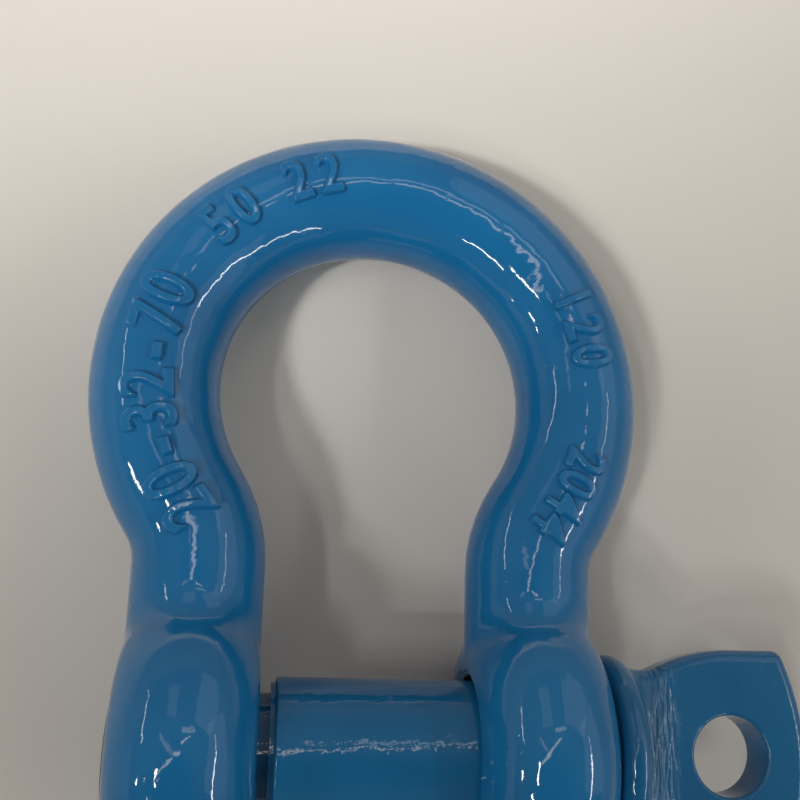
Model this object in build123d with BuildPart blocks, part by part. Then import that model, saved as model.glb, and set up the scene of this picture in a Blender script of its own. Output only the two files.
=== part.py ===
"""Screw-pin bow shackle: a forged bow with two ears, and a screw pin with a collar and a flat eye tang.

Frame: the origin lies on the pin's axis in the middle of the jaw, +X runs along the pin towards its tang,
and +Z is up. The shackle lies on its side, on both ears and the crown, so the plane of the bow is tipped
about X by the rest tilt.
"""

import os
from math import acos, asin, cos, degrees, sin, sqrt

from build123d import *

# Bow: one forging of round bar, with an ear at each end
bar_diameter = 20.2
jaw_width = 31.8
bow_inside_width = 49.4
inside_length = 70.4
neck_radius = 17.0
ear_diameter = 44.4
ear_nose_taper = 0.6
ear_nose_offset = 1.5
ear_proud = 0.15
ear_crest_flat = 0.9
ear_root_fillet = 8.0
clear_bore_diameter = 24.0
bore_mouth_chamfer = 0.9

# Pin: shank, end lead, relief groove and threaded end
pin_diameter = 22.2
shank_overhang = 4.0
shank_end_round = 0.5
lead_diameter = 20.6
lead_length = 2.4
groove_diameter = 18.0
groove_length = 2.0
thread_diameter = 22.0
thread_clearance = 0.05
tip_protrusion = 0.6
tip_chamfer = 1.5

# Pin: collar
collar_gap = 0.3
collar_diameter = 31.0
collar_thickness = 4.8
collar_rim_round = 2.3

# Pin: tang, a flat with an eye, parallel to the plane of the bow
tang_thickness = 7.6
tang_width = 33.3
tang_length = 31.1
tang_end_radius = 39.0
tang_corner_round = 2.0
tang_flare_radius = 29.0
tang_flare_length = 18.7
tang_edge_round = 2.2
tang_root_fillet = 6.0
tang_eye_diameter = 12.6
tang_eye_offset = 17.5
tang_eye_edge_round = 0.6

# Sizes worked out from those above
bar_radius = bar_diameter / 2
pin_radius = pin_diameter / 2
ear_radius = ear_diameter / 2
ear_thickness = bar_diameter + 2 * ear_proud
ear_rim_round = (ear_thickness - ear_crest_flat) / 2
ear_nose_radius = ear_radius - ear_nose_taper
ear_tangent_angle = degrees(acos(ear_nose_taper / ear_nose_offset))
ear_inner_x = jaw_width / 2
ear_outer_x = ear_inner_x + ear_thickness
leg_x = (ear_inner_x + ear_outer_x) / 2
crown_radius = (bow_inside_width + bar_diameter) / 2
crown_y = pin_radius + inside_length + bar_radius
bow_centre_y = crown_y - crown_radius
bend_angle = acos((leg_x + neck_radius) / (crown_radius + neck_radius))
neck_y = bow_centre_y - (crown_radius + neck_radius) * sin(bend_angle)
rest_tilt = asin((ear_radius - bar_radius) / crown_y)

# The plane of the bow and of the tang, with the crown down by the rest tilt
bow_plane = Plane(origin=(0, 0, 0), x_dir=(1, 0, 0), z_dir=(0, sin(rest_tilt), cos(rest_tilt)))
ear_face = Plane(
    origin=bow_plane.from_local_coords((ear_inner_x, 0, 0)), x_dir=bow_plane.y_dir, z_dir=bow_plane.x_dir
)
leg_foot = Plane(
    origin=bow_plane.from_local_coords((leg_x, 0, 0)), x_dir=bow_plane.x_dir, z_dir=bow_plane.y_dir
)


def bore_section(inner_x, outer_x, radius):
    """Corners of the half section of a bore through one ear, wider at both mouths by the chamfer."""
    step = bore_mouth_chamfer if outer_x > inner_x else -bore_mouth_chamfer
    return [
        (inner_x, 0),
        (inner_x, radius + bore_mouth_chamfer),
        (inner_x + step, radius),
        (outer_x - step, radius),
        (outer_x, radius + bore_mouth_chamfer),
        (outer_x, 0),
    ]


# Ear: a boss round the pin's axis, drawn out a little towards its leg, with a full round rim
with BuildPart() as ear:
    with BuildSketch(ear_face):
        with BuildLine():
            boss = CenterArc((0, 0), ear_radius, ear_tangent_angle, 360 - 2 * ear_tangent_angle)
            nose = CenterArc((ear_nose_offset, 0), ear_nose_radius, -ear_tangent_angle, 2 * ear_tangent_angle)
            Line(boss @ 1, nose @ 0)
            Line(nose @ 1, boss @ 0)
        make_face()
    extrude(amount=ear_thickness)
    fillet(ear.faces().filter_by(Axis.X).edges(), ear_rim_round)

# Bow: round bar swept up one leg, out at the neck, round the crown and down the other leg
with BuildPart() as bow:
    with BuildLine(bow_plane):
        bend = degrees(bend_angle)
        Line((leg_x, 0), (leg_x, neck_y))
        CenterArc((leg_x + neck_radius, neck_y), neck_radius, 180, -bend)
        CenterArc((0, bow_centre_y), crown_radius, -bend, 180 + 2 * bend)
        CenterArc((-leg_x - neck_radius, neck_y), neck_radius, bend, -bend)
        Line((-leg_x, neck_y), (-leg_x, 0))
    with BuildSketch(leg_foot):
        Circle(bar_radius)
    sweep()

    # One ear on each leg, standing a little proud of it
    add(ear.part)
    mirror(ear.part, about=Plane.YZ)

    # Where each leg runs into its ear, a hollow blend
    fillet(bow.edges().filter_by(GeomType.BSPLINE), ear_root_fillet)

    # Bores: clear through the right ear, tapped through the left one
    with BuildSketch(bow_plane):
        with BuildLine():
            Polyline(bore_section(ear_inner_x, ear_outer_x, clear_bore_diameter / 2), close=True)
        make_face()
        with BuildLine():
            tapped_radius = thread_diameter / 2 + thread_clearance
            Polyline(bore_section(-ear_inner_x, -ear_outer_x, tapped_radius), close=True)
        make_face()
    revolve(axis=Axis.X, mode=Mode.SUBTRACT)

# Pin: where its steps lie along X, from the threaded tip to the end of the tang
tip_x = -ear_outer_x - tip_protrusion
shank_start_x = -ear_inner_x + shank_overhang
lead_start_x = shank_start_x - lead_length
groove_start_x = lead_start_x - groove_length
collar_x = ear_outer_x + collar_gap
collar_end_x = collar_x + collar_thickness
flare_end_x = collar_end_x + tang_flare_length
tang_end_x = collar_end_x + tang_length
tang_eye_x = collar_end_x + tang_eye_offset

# Pin: half widths of the tang, and how far its flare and its curved end fall off
tang_half = tang_width / 2
flare_drop = tang_flare_radius - sqrt(tang_flare_radius**2 - tang_flare_length**2)
end_drop = tang_end_radius - sqrt(tang_end_radius**2 - tang_half**2)

with BuildPart() as screw_pin:
    # Turned body: threaded end, relief groove, lead, shank and collar
    with BuildSketch(bow_plane):
        with BuildLine():
            round_start = (shank_start_x, pin_radius - shank_end_round)
            shank_start = (shank_start_x + shank_end_round, pin_radius)
            collar_radius = collar_diameter / 2
            collar_foot = (collar_x, collar_radius - collar_rim_round)
            collar_crest = (collar_x + collar_rim_round, collar_radius)
            collar_crest_end = (collar_end_x - collar_rim_round, collar_radius)
            collar_end = (collar_end_x, collar_radius - collar_rim_round)
            Polyline(
                (collar_end_x, 0),
                (tip_x, 0),
                (tip_x, thread_diameter / 2 - tip_chamfer),
                (tip_x + tip_chamfer, thread_diameter / 2),
                (groove_start_x, thread_diameter / 2),
                (groove_start_x, groove_diameter / 2),
                (lead_start_x, groove_diameter / 2),
                (lead_start_x, lead_diameter / 2),
                (shank_start_x, lead_diameter / 2),
                round_start,
            )
            RadiusArc(round_start, shank_start, shank_end_round)
            Polyline(shank_start, (collar_x, pin_radius), collar_foot)
            RadiusArc(collar_foot, collar_crest, collar_rim_round)
            Line(collar_crest, collar_crest_end)
            RadiusArc(collar_crest_end, collar_end, collar_rim_round)
            Line(collar_end, (collar_end_x, 0))
        make_face()
    revolve(axis=Axis.X)

    # Tang: a flat that flares from the collar to its full width and ends in a shallow arc
    with BuildSketch(bow_plane) as tang_outline:
        with BuildLine():
            root = (collar_end_x, tang_half - flare_drop)
            flare_end = (flare_end_x, tang_half)
            corner = (tang_end_x - end_drop, tang_half)
            RadiusArc(root, flare_end, tang_flare_radius)
            Line(flare_end, corner)
            ThreePointArc(corner, (tang_end_x, 0), (corner[0], -tang_half))
            Line((corner[0], -tang_half), (flare_end_x, -tang_half))
            RadiusArc((flare_end_x, -tang_half), (collar_end_x, -root[1]), tang_flare_radius)
            Polyline((collar_end_x, -root[1]), (collar_x, -root[1]), (collar_x, root[1]), root)
        make_face()
        fillet(tang_outline.vertices().group_by(Axis.X)[-1], tang_corner_round)
    extrude(amount=tang_thickness / 2, both=True)

    # The tang's rims are rounded all round, and its root runs into the collar in a hollow blend
    rims = screw_pin.faces().filter_by(bow_plane).edges()
    fillet(rims.filter_by(lambda edge: edge.center().X > collar_end_x + tang_edge_round), tang_edge_round)
    at_collar = screw_pin.edges().filter_by_position(Axis.X, collar_end_x, collar_end_x)
    root_half_diagonal = collar_radius - collar_rim_round
    fillet(at_collar.filter_by(lambda edge: edge.length < 2 * root_half_diagonal), tang_root_fillet)

    # Eye through the tang, with softened rims
    with BuildSketch(bow_plane):
        with Locations((tang_eye_x, 0)):
            Circle(tang_eye_diameter / 2)
    extrude(amount=tang_thickness / 2, both=True, mode=Mode.SUBTRACT)
    eye_rims = screw_pin.faces().filter_by(bow_plane).edges().filter_by(GeomType.CIRCLE)
    fillet(eye_rims.filter_by(lambda edge: edge.is_closed), tang_eye_edge_round)

bow.part.label = "bow"
screw_pin.part.label = "screw_pin"

os.makedirs("parts", exist_ok=True)
export_step(bow.part, "parts/bow.step")
export_step(screw_pin.part, "parts/screw_pin.step")
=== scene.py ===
"""Looks of a screw-pin bow shackle: blue paint, raised size numerals, cut threads, floor and lights."""

from math import asin, cos, pi, radians, sin, tan

import bpy
from bpy.props import FloatProperty, FloatVectorProperty, IntProperty, PointerProperty
from mathutils import Matrix, Vector


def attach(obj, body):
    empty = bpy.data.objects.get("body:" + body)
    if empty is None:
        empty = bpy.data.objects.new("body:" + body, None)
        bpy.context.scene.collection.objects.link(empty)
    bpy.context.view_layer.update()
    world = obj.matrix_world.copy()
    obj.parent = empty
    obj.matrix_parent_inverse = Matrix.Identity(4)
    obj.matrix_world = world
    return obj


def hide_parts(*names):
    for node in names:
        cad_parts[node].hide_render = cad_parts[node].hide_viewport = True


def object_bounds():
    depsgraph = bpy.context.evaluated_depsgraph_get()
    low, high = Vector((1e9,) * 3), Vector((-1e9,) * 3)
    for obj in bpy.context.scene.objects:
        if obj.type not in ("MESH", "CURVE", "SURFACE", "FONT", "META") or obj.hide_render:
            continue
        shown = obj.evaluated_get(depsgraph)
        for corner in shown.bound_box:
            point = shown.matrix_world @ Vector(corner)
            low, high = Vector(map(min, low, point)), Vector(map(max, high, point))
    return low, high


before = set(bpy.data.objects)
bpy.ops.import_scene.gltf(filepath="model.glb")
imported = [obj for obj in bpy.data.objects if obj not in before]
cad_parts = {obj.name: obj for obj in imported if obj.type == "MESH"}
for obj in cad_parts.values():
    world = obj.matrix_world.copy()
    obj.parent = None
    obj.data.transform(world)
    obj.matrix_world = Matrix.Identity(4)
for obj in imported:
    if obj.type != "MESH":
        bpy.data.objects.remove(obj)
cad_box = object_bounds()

bl_info = {
    "name": "Bow shackle",
    "version": (1, 0, 0),
    "blender": (4, 5, 0),
    "location": "3D Viewport > Sidebar > Shackle",
    "description": "Dresses a screw-pin bow shackle with paint, raised numerals and threads",
    "category": "Object",
}

BOW_BODY = "bow_body"
PIN_BODY = "pin_body"
BOW_NODE = "bow"
PIN_NODE = "screw_pin"

# Numerals round the crown: digits, angle of the first in degrees, step to the next, share of the height
NUMERALS = (
    ("20-32-70", 218.0, -8.3, 1.25),
    ("50", 138.5, -8.4, 1.05),
    ("22", 114.2, -8.8, 1.05),
    ("120", 26.6, -8.2, 1.05),
    ("2044", -19.0, -6.6, 1.0),
)

# Size of the font over the height of its digits, and the weights that lift a numeral's sheet
FONT_OVER_DIGIT = 1.38
LIFT = "lift"

# Colours of the lamps' light
KEY_WHITE = (1.0, 0.98, 0.95)
COOL_WHITE = (0.95, 1.0, 1.0)
ROOM_WHITE = (1.0, 0.97, 0.93)
WARM_WHITE = (1.0, 0.90, 0.82)
AMBER_WHITE = (1.0, 0.84, 0.74)

# Strip lamps and dim panels: start, end, width, radiance and tint
LAMPS = {
    "key_lamp": ((-0.79, -0.27, 1.5), (-0.79, 0.14, 1.5), 0.07, 34.0, KEY_WHITE),
    "right_tube": ((1.75, -2.4, 1.5), (1.75, 0.3, 1.5), 0.065, 21.0, COOL_WHITE),
    "far_right_tube": ((1.75, 0.3, 1.5), (1.75, 0.9, 1.5), 0.06, 5.5, COOL_WHITE),
    "left_tube": ((-2.14, 0.6, 1.5), (-2.7, 2.8, 0.84), 0.07, 9.0, COOL_WHITE),
    "left_lamp": ((-2.40, -0.36, 1.5), (-2.40, -0.18, 1.5), 0.12, 40.0, COOL_WHITE),
    "near_tube": ((-1.18, -0.61, 1.5), (-0.66, -1.03, 1.5), 0.06, 36.0, COOL_WHITE),
    "low_lamp": ((-3.1, -1.55, 1.5), (-3.4, -1.75, 1.5), 0.10, 30.0, COOL_WHITE),
    "side_lamp": ((-3.7, -1.0, 1.0), (-3.6, -1.3, 1.0), 0.08, 30.0, COOL_WHITE),
    "warm_strip": ((-0.75, 0.02, 1.5), (0.24, 0.65, 1.5), 0.06, 4.6, WARM_WHITE),
    "warm_panel": ((-0.34, 0.40, 1.5), (-0.82, 0.70, 1.5), 0.08, 1.4, AMBER_WHITE),
    "right_wall": ((2.1, -0.7, 1.15), (2.1, 1.5, 1.15), 2.2, 0.45, ROOM_WHITE),
    "far_left_wall": ((-0.15, 1.75, 1.65), (-0.80, 1.70, 1.55), 0.9, 0.40, ROOM_WHITE),
    "far_corner": ((2.0, 1.5, 1.35), (0.72, 2.1, 1.35), 1.9, 0.45, ROOM_WHITE),
    "far_tube": ((0.03, 0.86, 1.5), (0.45, 0.87, 1.5), 0.09, 2.1, ROOM_WHITE),
}

# Room light: cosines of the angles at which the dark ceiling ends and the walls are in full light,
# and how far towards the near and the far side the walls' two strengths hold
DARK_CEILING_COSINE = 0.985
FULL_WALL_COSINE = 0.78
NEAR_SIDE_Y = -0.5
FAR_SIDE_Y = 0.4

# Patches of the surfaces: features per metre, and the values of the noise at which a patch starts and is full
POOLS = {"scale": 55.0, "low": 0.35, "high": 0.70}
GRITTY_PATCHES = {"scale": 120.0, "low": 0.52, "high": 0.66}
DULLED_PATCHES = {"scale": 38.0, "low": 0.55, "high": 0.75, "detail": 3.0, "roughness": 0.6}
STAINS = {"scale": 420.0, "low": 0.30, "high": 0.70, "detail": 4.0}
CLOUDS = {"scale": 20.0, "low": 0.30, "high": 0.70, "detail": 3.0}

# Enamel: roughness when clean, what dulled patches and grit add to it, and its index of refraction
CLEAN_ROUGHNESS = 0.05
DULLED_ROUGHNESS = 0.05
GRIT_ROUGHNESS = 0.10
ENAMEL_IOR = 1.5

# Enamel: features per metre, detail and height of the waves in the film, the slowest first
FILM_WAVES = ((105.0, 1.0, 0.00030), (300.0, 1.0, 0.00007))
WRINKLES_PER_METRE = 900.0

# Enamel: specks of grit per metre, and how far from its middle a speck's rim and its full height lie
SPECKS_PER_METRE = 330.0
SPECK_RIM = 0.16
SPECK_TOP = 0.02
GRIT_HEIGHT = 0.00010

# Bare steel: turned rings, stains, and how metallic and rough it is
BARE_STEEL = (0.125, 0.117, 0.108)
STAINED_STEEL = (0.060, 0.055, 0.050)
STEEL_METALLIC = 0.85
STEEL_ROUGHNESS = 0.42
RINGS_SCALE = 700.0
RINGS_DISTORTION = 1.2
RINGS_DETAIL = 2.0
RINGS_HEIGHT = 0.00002

# Where the paint stops: features per metre of its ragged edge, and their detail
EDGE_SCALE = 260.0
EDGE_DETAIL = 3.0

# Draw marks on the tang's root: how they are drawn out, how many a metre holds, and their height
DRAW_STRETCH = (1.0, 0.12, 0.5)
DRAW_SCALE = 1400.0
DRAW_HEIGHT = 0.00050

# Table top: how its clouds are drawn out, its roughness, its index of refraction and its grain
CLOUD_STRETCH = (0.3, 1.0, 1.0)
TABLE_ROUGHNESS = 0.55
CLOUD_ROUGHNESS = 0.10
TABLE_IOR = 1.2
GRAIN_SCALE = 1500.0
GRAIN_HEIGHT = 0.00002

# Meshes: angle under which a rim is shaded smooth, gap that is closed in a CAD mesh, half the angle
# between two flanks of the thread, and the sides and steps of round helpers and of the floor
SMOOTH_ANGLE = radians(32)
MERGE_DISTANCE = 1e-7
FLANK_ANGLE = radians(30)
COUNTERSINK_SIDES = 112
FLOOR_SIDES = 96
FLOOR_STEPS = 9

SENSOR_WIDTH = 36.0
NEAR_CLIP = 0.01


def length(name, description, default):
    """A size in metres, for the property groups."""
    return FloatProperty(name=name, description=description, default=default, unit="LENGTH", precision=5)


def number(name, description, default):
    """A plain number, for the property groups."""
    return FloatProperty(name=name, description=description, default=default)


def count(name, description, default):
    """A whole number, for the property groups."""
    return IntProperty(name=name, description=description, default=default)


def vector(name, description, default, subtype="TRANSLATION"):
    """A place in metres, or a direction, for the property groups."""
    return FloatVectorProperty(name=name, description=description, default=default, subtype=subtype)


def colour(name, description, default):
    """A linear colour, for the property groups."""
    return FloatVectorProperty(name=name, description=description, default=default, subtype="COLOR")


class ShackleForm(bpy.types.PropertyGroup):
    bar_radius: length("Bar radius", "Radius of the bow's round bar", 0.0101)
    crown_radius: length("Crown radius", "Radius of the crown's centre line", 0.0348)
    crown_centre_y: length("Crown centre", "From the pin's axis to the crown's centre", 0.0568)
    ear_radius: length("Ear radius", "Radius of each ear about the pin's axis", 0.0222)
    ear_inner_x: length("Jaw half width", "Inner face of each ear", 0.0159)
    ear_outer_x: length("Ear outer face", "Outer face of each ear", 0.0364)
    bore_mouth_radius: length("Bore mouth", "Radius of the tapped bore's countersink at the face", 0.01195)
    tapped_paint_radius: length("Tapped bore's paint", "Radius where its paint stops", 0.0115)
    clear_paint_radius: length("Clear bore's paint", "Radius where its paint stops", 0.0123)
    paint_wander: length("Edge's wander", "How far the edge of the bores' paint wanders", 0.0006)
    paint_softness: length("Edge's softness", "Half the width in which the bores' paint ends", 0.00015)


class ThreadForm(bpy.types.PropertyGroup):
    pitch: length("Pitch", "Advance of the thread in one turn", 0.002822)
    crest_radius: length("Crest radius", "Radius of the pin's thread over its crests", 0.011)
    root_radius: length("Root radius", "Radius at the bottom of the pin's groove", 0.00946)
    root_flat: length("Root flat", "Width of the flat at the bottom of the groove", 0.00045)
    clearance: length("Clearance", "Gap between the pin's thread and the ear's thread", 0.00012)
    overcut: length("Overcut", "How far the groove's cutter stands out past the crests", 0.0004)
    rooting: length("Rooting", "How deep the ear's ridge is rooted past the pin's crests", 0.0002)
    end_x: length("End", "Middle of the groove where it runs out over the relief groove", -0.0151)
    paint_start_x: length("Paint", "Where the paint starts, at the end of the thread", -0.0163)
    paint_wander: length("Edge's wander", "How far the edge of the pin's paint wanders", 0.0012)
    paint_softness: length("Edge's softness", "Half the width in which the pin's paint ends", 0.0002)
    pin_turns: count("Pin's turns", "Turns of the groove on the pin", 9)
    ear_turns: count("Ear's turns", "Turns of the ridge in the ear", 8)
    steps: count("Steps", "Steps in one turn of the thread", 56)


class LeadForm(bpy.types.PropertyGroup):
    lead_radius: length("Lead radius", "Radius of the solid's lead, beside the relief groove", 0.0103)
    lead_growth: number("Lead's growth", "Radius of the lead over that of the solid", 1.024)
    shank_start_x: length("Shank's start", "Where the solid's shank starts", -0.0119)
    shank_round: length("Shank's round", "Round at the start of the shank", 0.0005)
    shank_reach: length("Shank's reach", "How much nearer to the left ear the shank starts", 0.0017)


class TangForm(bpy.types.PropertyGroup):
    root_x: length("Root", "Middle of the tang's root fillet", 0.0465)
    root_reach: length("Reach", "How far the draw marks reach from the middle of the root", 0.0045)


class NumeralForm(bpy.types.PropertyGroup):
    height: length("Height", "Height of the smallest numerals", 0.0062)
    condense: number("Condense", "Width of a numeral over its plain width", 0.84)
    raised: length("Raised", "How far the numerals stand above the bar", 0.00095)
    bold: length("Bold", "How far the outline of a numeral is moved outwards", 0.00004)
    slope: length("Slope", "Width of the sloping side of a stroke", 0.00052)
    grain: length("Grain", "Step of the mesh that the numerals are raised from", 0.00013)
    root: length("Root", "How deep the numerals are set into the bar", 0.0005)
    sunk: length("Sunk", "How far the foot of a numeral lies below the paint", 0.00003)


class PaintColours(bpy.types.PropertyGroup):
    blue: colour("Blue", "Body colour of the paint", (0.010, 0.146, 0.345))
    deep_blue: colour("Deep blue", "Paint where it pooled thicker", (0.007, 0.121, 0.300))
    wrinkle: length("Wrinkle", "Height of the finest waves in the paint", 0.000012)
    pin_blue: colour("Pin blue", "Body colour of the paint on the pin", (0.010, 0.128, 0.288))
    deep_pin_blue: colour("Deep pin blue", "Paint on the pin where it pooled", (0.007, 0.104, 0.245))
    pin_wrinkle: length("Pin's wrinkle", "Height of the finest waves in the pin's paint", 0.00005)


class StageForm(bpy.types.PropertyGroup):
    floor_radius: length("Floor radius", "Radius of the flat floor", 0.9)
    wall_height: length("Wall height", "Height of the floor's turned-up rim", 0.45)
    floor_colour: colour("Floor", "Colour of the floor", (0.67, 0.63, 0.585))
    clouded_floor: colour("Clouded floor", "Floor's colour where it is clouded", (0.65, 0.61, 0.565))
    room_colour: colour("Room", "Colour of the room's light", (1.0, 0.955, 0.89))
    zenith: number("Overhead", "Strength of the room's light overhead", 0.05)
    near_wall: number("Near side", "Strength added on the near side", 0.09)
    far_wall: number("Far side", "Strength added on the far side", 0.20)
    dark_middle: vector("Dark middle", "Towards the ceiling's dark middle", (-0.15, -0.20, 0.97), "DIRECTION")
    beam_place: vector("Beam", "Place of the soft beam's lamp", (-0.85, -0.35, 1.30))
    beam_aim: vector("Beam's aim", "Where the middle of the beam falls", (-0.03, 0.270, 0.0))
    beam_angle: number("Beam's angle", "Angle of the whole beam in degrees", 14.5)
    beam_power: number("Beam's power", "Power of the beam's lamp in watts", 185.0)
    beam_softness: length("Beam's softness", "Radius of the beam's lamp", 0.12)
    camera_place: vector("Camera", "Place of the camera", (-0.0177, 0.03544, 0.15165))
    camera_turn: vector("Camera turn", "Turn about X, Y and Z in degrees", (4.534, -10.037, 2.390), "NONE")
    camera_lens: number("Lens", "Focal length in millimetres", 43.76)
    camera_shift_x: number("Shift X", "Sideways shift of the frame", -0.0375)
    camera_shift_y: number("Shift Y", "Upward shift of the frame", 0.05)


PROPERTY_GROUPS = {
    "shackle_form": ShackleForm,
    "thread_form": ThreadForm,
    "lead_form": LeadForm,
    "tang_form": TangForm,
    "numeral_form": NumeralForm,
    "paint_colours": PaintColours,
    "stage_form": StageForm,
}


class Value:
    """An output socket of a shader tree. Arithmetic on it adds Math nodes."""

    def __init__(self, shader, socket):
        self.shader = shader
        self.socket = socket

    def math(self, operation, first, second):
        return self.shader.add("ShaderNodeMath", {"operation": operation}, {0: first, 1: second})

    def __add__(self, other):
        return self.math("ADD", self, other)

    def __radd__(self, other):
        return self.math("ADD", other, self)

    def __sub__(self, other):
        return self.math("SUBTRACT", self, other)

    def __rsub__(self, other):
        return self.math("SUBTRACT", other, self)

    def __mul__(self, other):
        return self.math("MULTIPLY", self, other)

    def __rmul__(self, other):
        return self.math("MULTIPLY", other, self)


class Shader:
    """A node tree. The method add makes any node: its type, its settings, then its inputs."""

    def __init__(self, tree):
        self.tree = tree
        tree.nodes.clear()

    def add(self, kind, settings=None, inputs=None, output=0):
        node = self.tree.nodes.new(kind)
        for name, setting in (settings or {}).items():
            setattr(node, name, setting)
        for name, value in (inputs or {}).items():
            if isinstance(value, Value):
                self.tree.links.new(value.socket, node.inputs[name])
            else:
                node.inputs[name].default_value = value
        return Value(self, node.outputs[output]) if node.outputs else node

    def along_x(self, place):
        """The X of a place."""
        return self.add("ShaderNodeSeparateXYZ", None, {"Vector": place}, output="X")

    def stretch(self, place, factors):
        """A place times three factors, which draws a texture out along the axes where they are small."""
        return self.add("ShaderNodeVectorMath", {"operation": "MULTIPLY"}, {0: place, 1: factors})

    def noise(self, place, scale, detail=2.0, roughness=0.5):
        """Noise round 0.5, with features about 1 / scale metres apart."""
        return self.add("ShaderNodeTexNoise", None,
                        {"Vector": place, "Scale": scale, "Detail": detail, "Roughness": roughness})

    def ramp(self, value, low, high):
        """0 where the value is low, 1 where it is high, and straight between them."""
        return self.add("ShaderNodeMapRange", {"clamp": True},
                        {"Value": value, "From Min": low, "From Max": high})

    def ease(self, value, low, high):
        """As ramp, with soft ends."""
        return self.add("ShaderNodeMapRange", {"interpolation_type": "SMOOTHSTEP"},
                        {"Value": value, "From Min": low, "From Max": high})

    def patches(self, place, scale, low, high, detail=2.0, roughness=0.5):
        """Patches of 1 on a ground of 0: noise, ramped from low to high."""
        return self.ramp(self.noise(place, scale, detail, roughness), low, high)

    def blend(self, factor, first, second):
        """The first colour where the factor is 0 and the second where it is 1."""
        return self.add("ShaderNodeMix", {"data_type": "RGBA"},
                        {"Factor": factor, 6: first, 7: second}, output=2)

    def bump(self, height, distance, below=None):
        """Relief of a height, laid over the relief below it."""
        inputs = {"Height": height, "Distance": distance, "Strength": 1.0}
        if below:
            inputs["Normal"] = below
        return self.add("ShaderNodeBump", None, inputs)


def new_shader(name):
    """A new material, its shader and the place on the object that it colours."""
    material = bpy.data.materials.new(name)
    material.use_nodes = True
    shader = Shader(material.node_tree)
    return material, shader, shader.add("ShaderNodeTexCoord", output="Object")


def rgba(colour):
    """A colour with full alpha."""
    return (*colour, 1.0)


def enamel(name, body, pooled, bare, wrinkle, marks=None):
    """Thick gloss enamel over a forging, and bare steel where the mask that bare makes from a place is 1; in
    the bow's bores this steel is partly painted shade.

    The enamel has orange peel, slow waves from the hammered skin below and specks of grit under the
    film, and it is darker where it pooled. The steel is dull and stained, with turned rings. The
    finest waves are as high as wrinkle, and a height that marks makes from a place shows through.
    """
    material, shader, place = new_shader(name)
    steel = bare(shader, place)

    paint = shader.blend(shader.patches(place, **POOLS), rgba(body), rgba(pooled))
    from_speck = shader.add("ShaderNodeTexVoronoi", {"feature": "F1"},
                            {"Vector": place, "Scale": SPECKS_PER_METRE})
    grit = shader.ramp(from_speck, SPECK_RIM, SPECK_TOP) * shader.patches(place, **GRITTY_PATCHES)
    dulled = shader.patches(place, **DULLED_PATCHES)

    metal = shader.blend(shader.patches(place, **STAINS), rgba(STAINED_STEEL), rgba(BARE_STEEL))
    rings = shader.add("ShaderNodeTexWave", {"wave_type": "RINGS", "rings_direction": "X"}, {
        "Vector": place, "Scale": RINGS_SCALE, "Distortion": RINGS_DISTORTION, "Detail": RINGS_DETAIL})

    skin = None
    for scale, detail, height in FILM_WAVES:
        skin = shader.bump(shader.noise(place, scale, detail), height, skin)
    skin = shader.bump(shader.noise(place, WRINKLES_PER_METRE), wrinkle, skin)
    skin = shader.bump(grit, GRIT_HEIGHT, skin)
    skin = shader.bump(rings * steel, RINGS_HEIGHT, skin)
    if marks:
        skin = shader.bump(marks(shader, place), DRAW_HEIGHT, skin)

    rough = CLEAN_ROUGHNESS + DULLED_ROUGHNESS * dulled + GRIT_ROUGHNESS * grit
    surface = shader.add("ShaderNodeBsdfPrincipled", None, {
        "Base Color": shader.blend(steel, paint, metal),
        "Metallic": STEEL_METALLIC * steel,
        "Roughness": rough + (STEEL_ROUGHNESS - rough) * steel,
        "IOR": ENAMEL_IOR,
        "Normal": skin,
    })
    shader.add("ShaderNodeOutputMaterial", None, {"Surface": surface})
    return material


def bare_below(shader, place, distance, edge, form):
    """1 where a distance is below its edge. The edge is ragged, as where paint was masked by hand."""
    ragged = distance + form.paint_wander * (shader.noise(place, EDGE_SCALE, EDGE_DETAIL) - 0.5)
    return shader.ramp(ragged, edge + form.paint_softness, edge - form.paint_softness)


def bare_thread(thread):
    """Steel from the pin's tip to the end of its thread."""
    def mask(shader, place):
        return bare_below(shader, place, shader.along_x(place), thread.paint_start_x, thread)
    return mask


def bare_and_shaded_bores(form):
    """Bare steel inside both bores, partly painted shade that darkens the crevice round the pin. The radius
    where it ends grows from the tapped bore to the clear one.
    """
    def mask(shader, place):
        across = shader.stretch(place, (0.0, 1.0, 1.0))
        radius = shader.add("ShaderNodeVectorMath", {"operation": "LENGTH"}, {0: across}, output="Value")
        mean = (form.tapped_paint_radius + form.clear_paint_radius) / 2
        growth = (form.clear_paint_radius - form.tapped_paint_radius) / (form.ear_inner_x + form.ear_outer_x)
        return bare_below(shader, place, radius - growth * shader.along_x(place), mean, form)
    return mask


def draw_marks(tang):
    """Streaks across the root of the tang, where the forging was drawn down from the collar."""
    def height(shader, place):
        from_root = shader.along_x(place) - tang.root_x
        off_root = shader.add("ShaderNodeMath", {"operation": "ABSOLUTE"}, {0: from_root})
        near_root = shader.ease(off_root, tang.root_reach, 0.0)
        return shader.noise(shader.stretch(place, DRAW_STRETCH), DRAW_SCALE) * near_root
    return height


def table_top(name, clean, clouded):
    """A pale table top, faintly clouded along X, with a fine satin grain."""
    material, shader, place = new_shader(name)
    clouds = shader.patches(shader.stretch(place, CLOUD_STRETCH), **CLOUDS)
    surface = shader.add("ShaderNodeBsdfPrincipled", None, {
        "Base Color": shader.blend(clouds, rgba(clean), rgba(clouded)),
        "Roughness": TABLE_ROUGHNESS + CLOUD_ROUGHNESS * clouds,
        "IOR": TABLE_IOR,
        "Normal": shader.bump(shader.noise(place, GRAIN_SCALE), GRAIN_HEIGHT),
    })
    shader.add("ShaderNodeOutputMaterial", None, {"Surface": surface})
    return material


def select_only(*objects):
    """Leaves just these objects selected, the last one active."""
    bpy.ops.object.select_all(action="DESELECT")
    for item in objects:
        item.select_set(True)
        bpy.context.view_layer.objects.active = item


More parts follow.
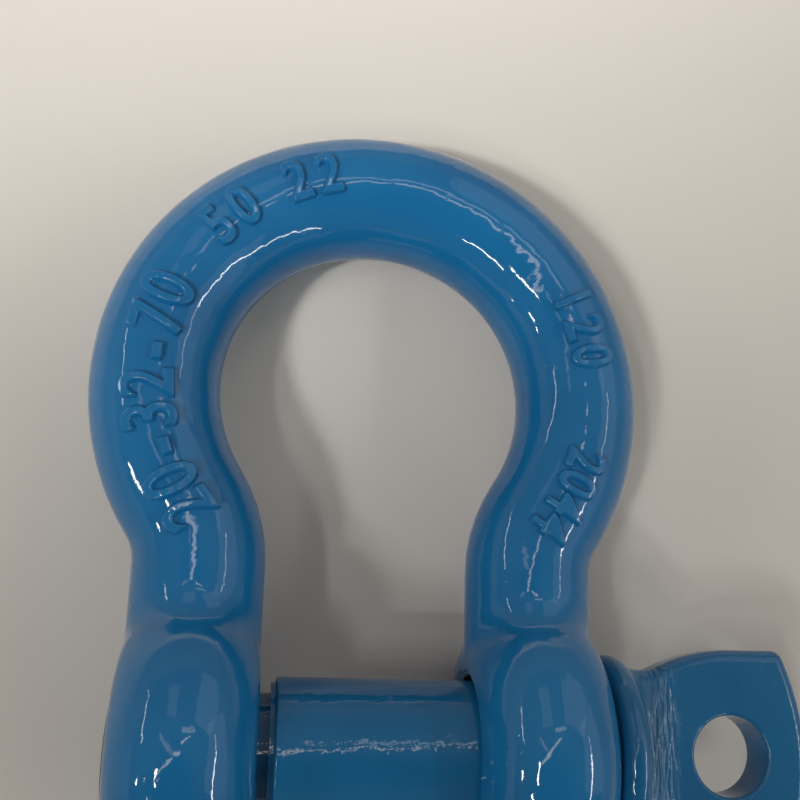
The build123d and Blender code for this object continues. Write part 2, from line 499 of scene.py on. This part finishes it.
def add_modifier(item, kind, **settings):
    """Adds a modifier to the active object, sets it and applies it."""
    bpy.ops.object.modifier_add(type=kind)
    modifier = item.modifiers[-1]
    for name, setting in settings.items():
        setattr(modifier, name, setting)
    bpy.ops.object.modifier_apply(modifier=modifier.name)


def remove(*items):
    """Deletes helper objects that were only tools."""
    select_only(*items)
    bpy.ops.object.delete()


def dress(item, material):
    """Gives an object one material and no other."""
    item.data.materials.clear()
    item.data.materials.append(material)


def bow_plane(form):
    """The plane of the bow: the crown rests on the floor as the ears do, so it is tipped about the pin."""
    crown_y = form.crown_centre_y + form.crown_radius
    return Matrix.Rotation(-asin((form.ear_radius - form.bar_radius) / crown_y), 4, "X")


def helix(name, form, turns, foot_radius, tip_radius, foot_half, tip_half):
    """A closed helical bar of trapezium section about X that ends where the thread's groove runs out."""
    first_x = form.end_x - turns * form.pitch
    bpy.ops.object.select_all(action="DESELECT")
    bpy.ops.mesh.primitive_circle_add(vertices=4, radius=tip_half)
    bar = bpy.context.object
    bar.name = name
    corners = ((-foot_half, foot_radius), (-tip_half, tip_radius),
               (tip_half, tip_radius), (foot_half, foot_radius))
    for vertex, (across, radius) in zip(bar.data.vertices, corners):
        vertex.co = (first_x + across, 0.0, radius)
    add_modifier(bar, "SCREW", axis="X", angle=2 * pi, screw_offset=form.pitch, iterations=turns,
                 steps=form.steps, render_steps=form.steps)
    bpy.ops.object.mode_set(mode="EDIT")
    bpy.ops.mesh.select_all(action="SELECT")
    bpy.ops.mesh.fill_holes(sides=0)
    bpy.ops.mesh.select_all(action="SELECT")
    bpy.ops.mesh.normals_make_consistent(inside=False)
    bpy.ops.object.mode_set(mode="OBJECT")
    return bar


def thread_half_width(form, radius):
    """Half the width of the thread's groove at a radius: two flanks over a narrow flat."""
    return form.root_flat / 2 + (radius - form.root_radius) * tan(FLANK_ANGLE)


def lengthen_shank(pin, lead):
    """Starts the shank nearer to the left ear and lifts the lead beside it almost to its surface."""
    near = 0.0001
    start_x = lead.shank_start_x
    for vertex in pin.data.vertices:
        vertex.select = start_x - near < vertex.co.x < start_x + lead.shank_round + near
    bpy.ops.object.mode_set(mode="EDIT")
    bpy.ops.transform.translate(value=(-lead.shank_reach, 0, 0))
    bpy.ops.object.mode_set(mode="OBJECT")
    for vertex in pin.data.vertices:
        vertex.select = abs(vertex.co.yz.length - lead.lead_radius) < near and vertex.co.x < start_x
    bpy.ops.object.mode_set(mode="EDIT")
    bpy.ops.transform.resize(value=(1, lead.lead_growth, lead.lead_growth), center_override=(0, 0, 0))
    bpy.ops.object.mode_set(mode="OBJECT")


class SHACKLE_OT_threaded_pin(bpy.types.Operator):
    """Cut the thread on the pin's end"""

    bl_idname = "shackle.threaded_pin"
    bl_label = "Threaded pin"

    def execute(self, context):
        form = context.scene.thread_form
        colours = context.scene.paint_colours
        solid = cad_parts[PIN_NODE]
        pin = bpy.data.objects.new("threaded_pin", solid.data.copy())
        context.collection.objects.link(pin)
        select_only(pin)
        bpy.ops.object.mode_set(mode="EDIT")
        bpy.ops.mesh.select_all(action="SELECT")
        bpy.ops.mesh.customdata_custom_splitnormals_clear()
        bpy.ops.mesh.remove_doubles(threshold=MERGE_DISTANCE)
        bpy.ops.mesh.select_all(action="DESELECT")
        bpy.ops.mesh.select_mode(type="VERT")
        bpy.ops.object.mode_set(mode="OBJECT")
        lengthen_shank(pin, context.scene.lead_form)

        over = form.crest_radius + form.overcut
        groove = helix("groove", form, form.pin_turns, form.root_radius, over,
                       form.root_flat / 2, thread_half_width(form, over))
        select_only(pin)
        add_modifier(pin, "BOOLEAN", operation="DIFFERENCE", object=groove, solver="EXACT")
        remove(groove)
        select_only(pin)
        bpy.ops.object.shade_smooth_by_angle(angle=SMOOTH_ANGLE)
        dress(pin, enamel("pin_paint", colours.pin_blue, colours.deep_pin_blue, bare_thread(form),
                          colours.pin_wrinkle, draw_marks(context.scene.tang_form)))
        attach(pin, PIN_BODY)
        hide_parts(PIN_NODE)
        return {"FINISHED"}


class SHACKLE_OT_ear_thread(bpy.types.Operator):
    """Cut the thread in the left ear's bore"""

    bl_idname = "shackle.ear_thread"
    bl_label = "Ear thread"

    def execute(self, context):
        form = context.scene.thread_form
        ear = context.scene.shackle_form
        crest = form.root_radius + form.clearance
        foot = form.crest_radius + form.rooting
        narrow = form.clearance / cos(FLANK_ANGLE)
        ridge = helix("ear_thread", form, form.ear_turns, crest, foot,
                      thread_half_width(form, crest) - narrow, thread_half_width(form, foot) - narrow)
        beyond = 0.004
        base_radius = ear.bore_mouth_radius + beyond
        for face_x, outward in ((-ear.ear_inner_x, 1), (-ear.ear_outer_x, -1)):
            bpy.ops.mesh.primitive_cone_add(
                vertices=COUNTERSINK_SIDES, radius1=base_radius, radius2=0.0, depth=base_radius,
                location=(face_x + outward * (beyond - base_radius / 2), 0, 0),
                rotation=(0, -outward * pi / 2, 0))
            countersink = context.object
            select_only(ridge)
            add_modifier(ridge, "BOOLEAN", operation="DIFFERENCE", object=countersink, solver="EXACT")
            remove(countersink)
        select_only(ridge)
        bpy.ops.object.shade_smooth_by_angle(angle=SMOOTH_ANGLE)
        dress(ridge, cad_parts[BOW_NODE].active_material)
        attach(ridge, BOW_BODY)
        return {"FINISHED"}


def numeral_strokes(character, height, numerals, stand):
    """The flat strokes of one numeral, standing in its place."""
    bpy.ops.object.select_all(action="DESELECT")
    bpy.ops.object.text_add()
    strokes = bpy.context.object
    strokes.data.body = character
    strokes.data.align_x = "CENTER"
    strokes.data.align_y = "CENTER"
    strokes.data.size = height * FONT_OVER_DIGIT
    strokes.data.offset = numerals.bold
    bpy.ops.object.convert(target="MESH")
    strokes.scale = (numerals.condense, 1.0, 1.0)
    bpy.ops.object.transform_apply(location=False, rotation=False, scale=True)
    strokes.matrix_world = stand
    return strokes


def raised_numeral(character, angle, height, form, numerals):
    """One numeral raised from the crown: a fine sheet laid on the bar and lifted over the strokes."""
    direction = Vector((cos(angle), sin(angle), 0))
    spot = Vector((0, form.crown_centre_y, 2 * form.bar_radius)) + form.crown_radius * direction
    stand = bow_plane(form) @ Matrix.Translation(spot) @ Matrix.Rotation(angle - pi / 2, 4, "Z")
    strokes = numeral_strokes(character, height, numerals, stand)

    margin = 2 * numerals.slope
    wide = strokes.dimensions.x + 2 * margin
    tall = height + 2 * margin
    bpy.ops.object.select_all(action="DESELECT")
    bpy.ops.mesh.primitive_grid_add(x_subdivisions=round(wide / numerals.grain),
                                    y_subdivisions=round(tall / numerals.grain), size=1.0)
    sheet = bpy.context.object
    sheet.scale = (wide, tall, 1.0)
    bpy.ops.object.transform_apply(location=False, rotation=False, scale=True)
    sheet.matrix_world = stand
    group = sheet.vertex_groups.new(name=LIFT)
    group.add(list(range(len(sheet.data.vertices))), 1.0, "REPLACE")
    bpy.context.view_layer.update()
    add_modifier(sheet, "VERTEX_WEIGHT_PROXIMITY", vertex_group=LIFT, target=strokes,
                 proximity_mode="GEOMETRY", proximity_geometry={"FACE"},
                 min_dist=numerals.slope, max_dist=0.0, falloff_type="SMOOTH")
    add_modifier(sheet, "SHRINKWRAP", target=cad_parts[BOW_NODE], wrap_method="PROJECT",
                 use_project_z=True, use_negative_direction=True, use_positive_direction=False,
                 offset=-numerals.sunk)
    lifted = [any(held.weight > 0.0 for held in vertex.groups) for vertex in sheet.data.vertices]
    add_modifier(sheet, "DISPLACE", vertex_group=LIFT, direction="NORMAL", mid_level=0.0,
                 strength=numerals.raised + numerals.sunk)

    # What lies flat is cut away, and the rest is closed by a wall and a base set into the bar
    bpy.ops.object.mode_set(mode="EDIT")
    bpy.ops.mesh.select_all(action="DESELECT")
    bpy.ops.object.mode_set(mode="OBJECT")
    for face in sheet.data.polygons:
        face.select = not any(lifted[index] for index in face.vertices)
    bpy.ops.object.mode_set(mode="EDIT")
    bpy.ops.mesh.delete(type="FACE")
    bpy.ops.mesh.select_all(action="SELECT")
    bpy.ops.mesh.region_to_loop()
    bpy.ops.mesh.extrude_region_move(TRANSFORM_OT_translate={
        "value": (0, 0, -numerals.root), "orient_matrix": stand.to_3x3(), "orient_type": "LOCAL"})
    bpy.ops.mesh.fill(use_beauty=True)
    bpy.ops.mesh.select_all(action="SELECT")
    bpy.ops.mesh.normals_make_consistent(inside=False)
    bpy.ops.object.mode_set(mode="OBJECT")
    bpy.ops.object.transform_apply(location=True, rotation=True, scale=True)
    remove(strokes)
    return sheet


class SHACKLE_OT_numerals(bpy.types.Operator):
    """Raise the size numerals round the crown"""

    bl_idname = "shackle.numerals"
    bl_label = "Raised numerals"

    def execute(self, context):
        form = context.scene.shackle_form
        numerals = context.scene.numeral_form
        sheets = []
        for digits, first_angle, step, share in NUMERALS:
            height = share * numerals.height
            for position, character in enumerate(digits):
                angle = radians(first_angle + position * step)
                sheets.append(raised_numeral(character, angle, height, form, numerals))
        select_only(*sheets)
        bpy.ops.object.join()
        raised = context.object
        raised.name = "raised_numerals"
        bpy.ops.object.shade_smooth()
        dress(raised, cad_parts[BOW_NODE].active_material)
        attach(raised, BOW_BODY)
        return {"FINISHED"}


class SHACKLE_OT_paint_bow(bpy.types.Operator):
    """Paint the forged bow"""

    bl_idname = "shackle.paint_bow"
    bl_label = "Paint the bow"

    def execute(self, context):
        colours = context.scene.paint_colours
        # The bores' bare steel is partly painted shade in the crevice round the pin
        bare = bare_and_shaded_bores(context.scene.shackle_form)
        dress(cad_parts[BOW_NODE],
              enamel("bow_paint", colours.blue, colours.deep_blue, bare, colours.wrinkle))
        return {"FINISHED"}


def add_floor(stage):
    """A round floor at the height that the shackle rests on, turned up at its rim into a low wall."""
    radius = stage.floor_radius + stage.wall_height
    bpy.ops.object.select_all(action="DESELECT")
    bpy.ops.mesh.primitive_circle_add(vertices=FLOOR_SIDES, radius=radius,
                                      location=(0, 0, cad_box[0].z + stage.wall_height))
    floor = bpy.context.object
    floor.name = "floor"
    bpy.ops.object.mode_set(mode="EDIT")
    bpy.ops.mesh.select_all(action="SELECT")
    for step in range(1, FLOOR_STEPS + 1):
        lean = radians(90 * step / FLOOR_STEPS)
        before = radians(90 * (step - 1) / FLOOR_STEPS)
        smaller = stage.floor_radius + stage.wall_height * (1 - sin(lean))
        bpy.ops.mesh.extrude_region_move(
            TRANSFORM_OT_translate={"value": (0, 0, stage.wall_height * (cos(lean) - cos(before)))})
        bpy.ops.transform.resize(value=(smaller / radius, smaller / radius, 1))
        radius = smaller
    bpy.ops.mesh.edge_face_add()
    bpy.ops.mesh.select_all(action="SELECT")
    bpy.ops.mesh.normals_make_consistent(inside=True)
    bpy.ops.object.mode_set(mode="OBJECT")
    bpy.ops.object.shade_smooth_by_angle(angle=SMOOTH_ANGLE)
    floor.data.materials.append(table_top("table_top", stage.floor_colour, stage.clouded_floor))


def add_lamp(name, start, end, width, radiance, tint):
    """A strip lamp from start to end that faces the shackle, as bright as its radiance says."""
    middle = (start + end) / 2
    along = (end - start).normalized()
    back = (middle - along * middle.dot(along)).normalized()
    bpy.ops.object.light_add(type="AREA", location=middle)
    lamp = bpy.context.object
    lamp.name = name
    lamp.rotation_euler = Matrix((along.cross(back), along, back)).transposed().to_euler()
    lamp.data.shape = "RECTANGLE"
    lamp.data.size = width
    lamp.data.size_y = (end - start).length
    lamp.data.color = tint
    lamp.data.energy = radiance * pi * width * (end - start).length


def add_beam(stage):
    """A soft-edged beam from the near left, brightest beyond the crown and fading towards the pin."""
    place = Vector(stage.beam_place)
    bpy.ops.object.light_add(type="SPOT", location=place)
    beam = bpy.context.object
    beam.name = "soft_beam"
    beam.rotation_euler = (Vector(stage.beam_aim) - place).to_track_quat("-Z", "Y").to_euler()
    beam.data.energy = stage.beam_power
    beam.data.spot_size = radians(stage.beam_angle)
    beam.data.spot_blend = 1.0
    beam.data.shadow_soft_size = stage.beam_softness
    beam.data.color = KEY_WHITE
    beam.visible_glossy = False


def add_room(scene, stage):
    """Dim room light, darkest in the middle of the ceiling and paler towards the far side."""
    world = bpy.data.worlds.new("room")
    scene.world = world
    world.use_nodes = True
    shader = Shader(world.node_tree)
    direction = shader.add("ShaderNodeTexCoord", output="Generated")
    depth = shader.add("ShaderNodeSeparateXYZ", None, {"Vector": direction}, output="Y")
    dark_middle = Vector(stage.dark_middle).normalized()
    toward_middle = shader.add("ShaderNodeVectorMath", {"operation": "DOT_PRODUCT"},
                               {0: direction, 1: dark_middle}, output="Value")
    away = shader.ease(toward_middle, DARK_CEILING_COSINE, FULL_WALL_COSINE)
    far = shader.ease(depth, NEAR_SIDE_Y, FAR_SIDE_Y)
    strength = stage.zenith + away * (stage.near_wall + far * (stage.far_wall - stage.near_wall))
    background = shader.add("ShaderNodeBackground", None,
                            {"Color": rgba(stage.room_colour), "Strength": strength})
    shader.add("ShaderNodeOutputWorld", None, {"Surface": background})


def add_camera(scene, stage):
    """The camera above the bow's opening, which looks down and a little to the right."""
    bpy.ops.object.camera_add(
        location=stage.camera_place, rotation=[radians(angle) for angle in stage.camera_turn])
    camera = bpy.context.object
    scene.camera = camera
    camera.data.sensor_width = SENSOR_WIDTH
    camera.data.lens = stage.camera_lens
    camera.data.shift_x = stage.camera_shift_x
    camera.data.shift_y = stage.camera_shift_y
    camera.data.clip_start = NEAR_CLIP


class SHACKLE_OT_stage(bpy.types.Operator):
    """Lay the floor, hang the lights and set up the camera"""

    bl_idname = "shackle.stage"
    bl_label = "Stage"

    def execute(self, context):
        scene = context.scene
        scene.view_settings.view_transform = "Standard"
        stage = scene.stage_form
        add_floor(stage)
        for name, (start, end, width, radiance, tint) in LAMPS.items():
            add_lamp(name, Vector(start), Vector(end), width, radiance, tint)
        add_beam(stage)
        add_room(scene, stage)
        add_camera(scene, stage)
        return {"FINISHED"}


class SHACKLE_PT_panel(bpy.types.Panel):
    """Lists the shackle's operators"""

    bl_idname = "SHACKLE_PT_panel"
    bl_label = "Bow shackle"
    bl_space_type = "VIEW_3D"
    bl_region_type = "UI"
    bl_category = "Shackle"

    def draw(self, context):
        for operator in OPERATORS:
            self.layout.operator(operator.bl_idname)


OPERATORS = (
    SHACKLE_OT_paint_bow,
    SHACKLE_OT_numerals,
    SHACKLE_OT_ear_thread,
    SHACKLE_OT_threaded_pin,
    SHACKLE_OT_stage,
)


def register():
    for group in PROPERTY_GROUPS.values():
        bpy.utils.register_class(group)
    for name, group in PROPERTY_GROUPS.items():
        setattr(bpy.types.Scene, name, PointerProperty(type=group))
    for item in (*OPERATORS, SHACKLE_PT_panel):
        bpy.utils.register_class(item)


def unregister():
    for item in reversed((*OPERATORS, SHACKLE_PT_panel)):
        bpy.utils.unregister_class(item)
    for name, group in PROPERTY_GROUPS.items():
        delattr(bpy.types.Scene, name)
        bpy.utils.unregister_class(group)


def main():
    register()
    bpy.ops.shackle.paint_bow()
    bpy.ops.shackle.numerals()
    bpy.ops.shackle.ear_thread()
    bpy.ops.shackle.threaded_pin()
    bpy.ops.shackle.stage()


if __name__ == "__main__":
    main()
